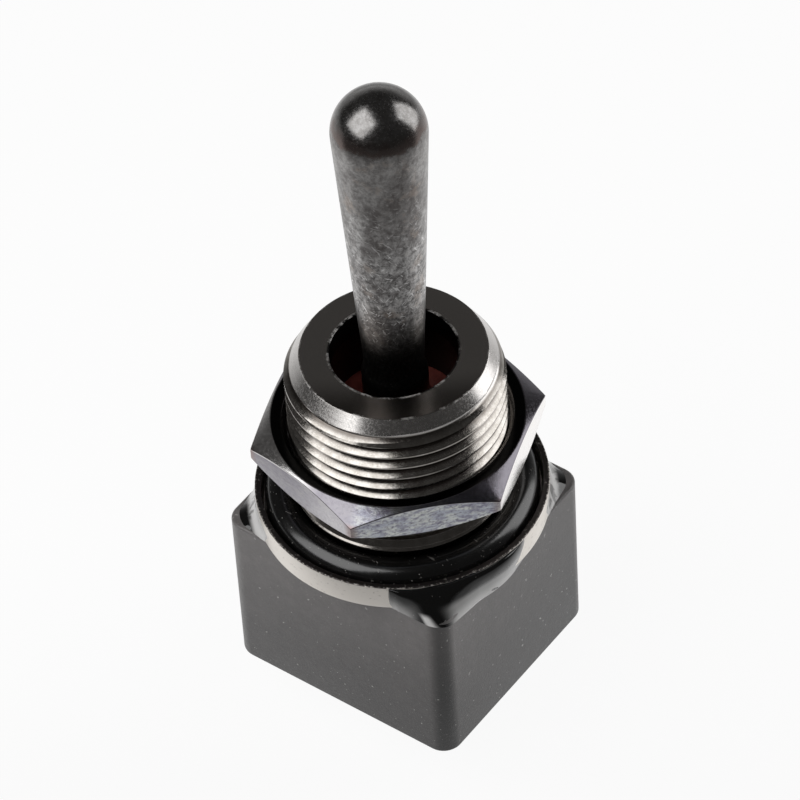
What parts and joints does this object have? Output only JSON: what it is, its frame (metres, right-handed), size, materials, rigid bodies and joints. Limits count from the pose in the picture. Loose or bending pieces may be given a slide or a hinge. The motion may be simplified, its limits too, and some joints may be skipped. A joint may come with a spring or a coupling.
{
  "type": "toggle switch",
  "caption": "Sealed panel toggle switch: bat lever in a threaded, flanged bushing with hexagon nut and sealing ring, on a box case with solder lugs.",
  "frame": {"origin": "on the bushing's axis, at the flange face that meets the panel", "axes": "+Z out of the panel along the lever, X along the lever's swing, Y along its pivot pin"},
  "size_m": [0.0162, 0.016, 0.0438],
  "materials": {
    "case_plastic": "moulded, finely textured",
    "nickel": "turned and nickel plated",
    "zinc": "passivated zinc, mottled",
    "black_rubber": "smooth",
    "silicone": "satin",
    "brass": "turned",
    "steel": "bright",
    "dark_metal": "black nickel plated, lightly scratched",
    "nylon": "moulded",
    "silver": "silver plated, satin",
    "epoxy": "cast, glossy"
  },
  "bodies": {
    "switch_body": {"case": "case_plastic", "bushing": "nickel", "panel_o_ring": "black_rubber", "lever_seal": "silicone", "seal_washer": "brass", "pivot_sleeve": "brass", "pivot_pin": "steel", "retaining_ring": "steel", "front_common_terminal": "silver", "front_left_terminal": "silver", "front_right_terminal": "silver", "rear_common_terminal": "silver", "rear_left_terminal": "silver", "rear_right_terminal": "silver", "front_left_contact": "silver", "front_right_contact": "silver", "rear_left_contact": "silver", "rear_right_contact": "silver", "epoxy_front_left": "epoxy", "epoxy_front_right": "epoxy", "epoxy_rear_left": "epoxy", "epoxy_rear_right": "epoxy", "base_potting": "epoxy"},
    "lever": {"toggle_lever": "dark_metal", "actuator_carrier": "nylon", "front_plunger_spring": "steel", "rear_plunger_spring": "steel"},
    "nut": {"panel_nut": "zinc"},
    "front_plunger": {"front_plunger": "nylon"},
    "front_rocker": {"front_rocker": "brass", "front_rocker_contacts": "silver"},
    "rear_plunger": {"rear_plunger": "nylon"},
    "rear_rocker": {"rear_rocker": "brass", "rear_rocker_contacts": "silver"}
  },
  "joints": [
    {"name": "lever_pivot", "type": "hinge", "parent": "switch_body", "child": "lever", "pos_m": [0, 0, 0.0023], "axis": [0, 1, 0], "range_deg": [-12, 12], "deforming": ["lever_seal"]},
    {"name": "nut_travel", "type": "slide", "parent": "switch_body", "child": "nut", "axis": [0, 0, 1], "range_m": [-0.0023, 0.026]},
    {"name": "front_rocker_tilt", "type": "hinge", "parent": "switch_body", "child": "front_rocker", "pos_m": [0, -0.0024, -0.00715], "axis": [0, 1, 0], "range_deg": [-6, 6]},
    {"name": "front_plunger_slide", "type": "slide", "parent": "lever", "child": "front_plunger", "axis": [0, 0, 1], "range_m": [0, 0.0004], "stiffness_N_per_m": 300, "deforming": ["front_plunger_spring"]},
    {"name": "rear_rocker_tilt", "type": "hinge", "parent": "switch_body", "child": "rear_rocker", "pos_m": [0, 0.0024, -0.00715], "axis": [0, 1, 0], "range_deg": [-6, 6]},
    {"name": "rear_plunger_slide", "type": "slide", "parent": "lever", "child": "rear_plunger", "axis": [0, 0, 1], "range_m": [0, 0.0004], "stiffness_N_per_m": 300, "deforming": ["rear_plunger_spring"]}
  ],
  "couplings": [
    {"joint": "front_rocker_tilt", "follows": "lever_pivot", "ratio": -0.5},
    {"joint": "rear_rocker_tilt", "follows": "lever_pivot", "ratio": -0.5}
  ]
}
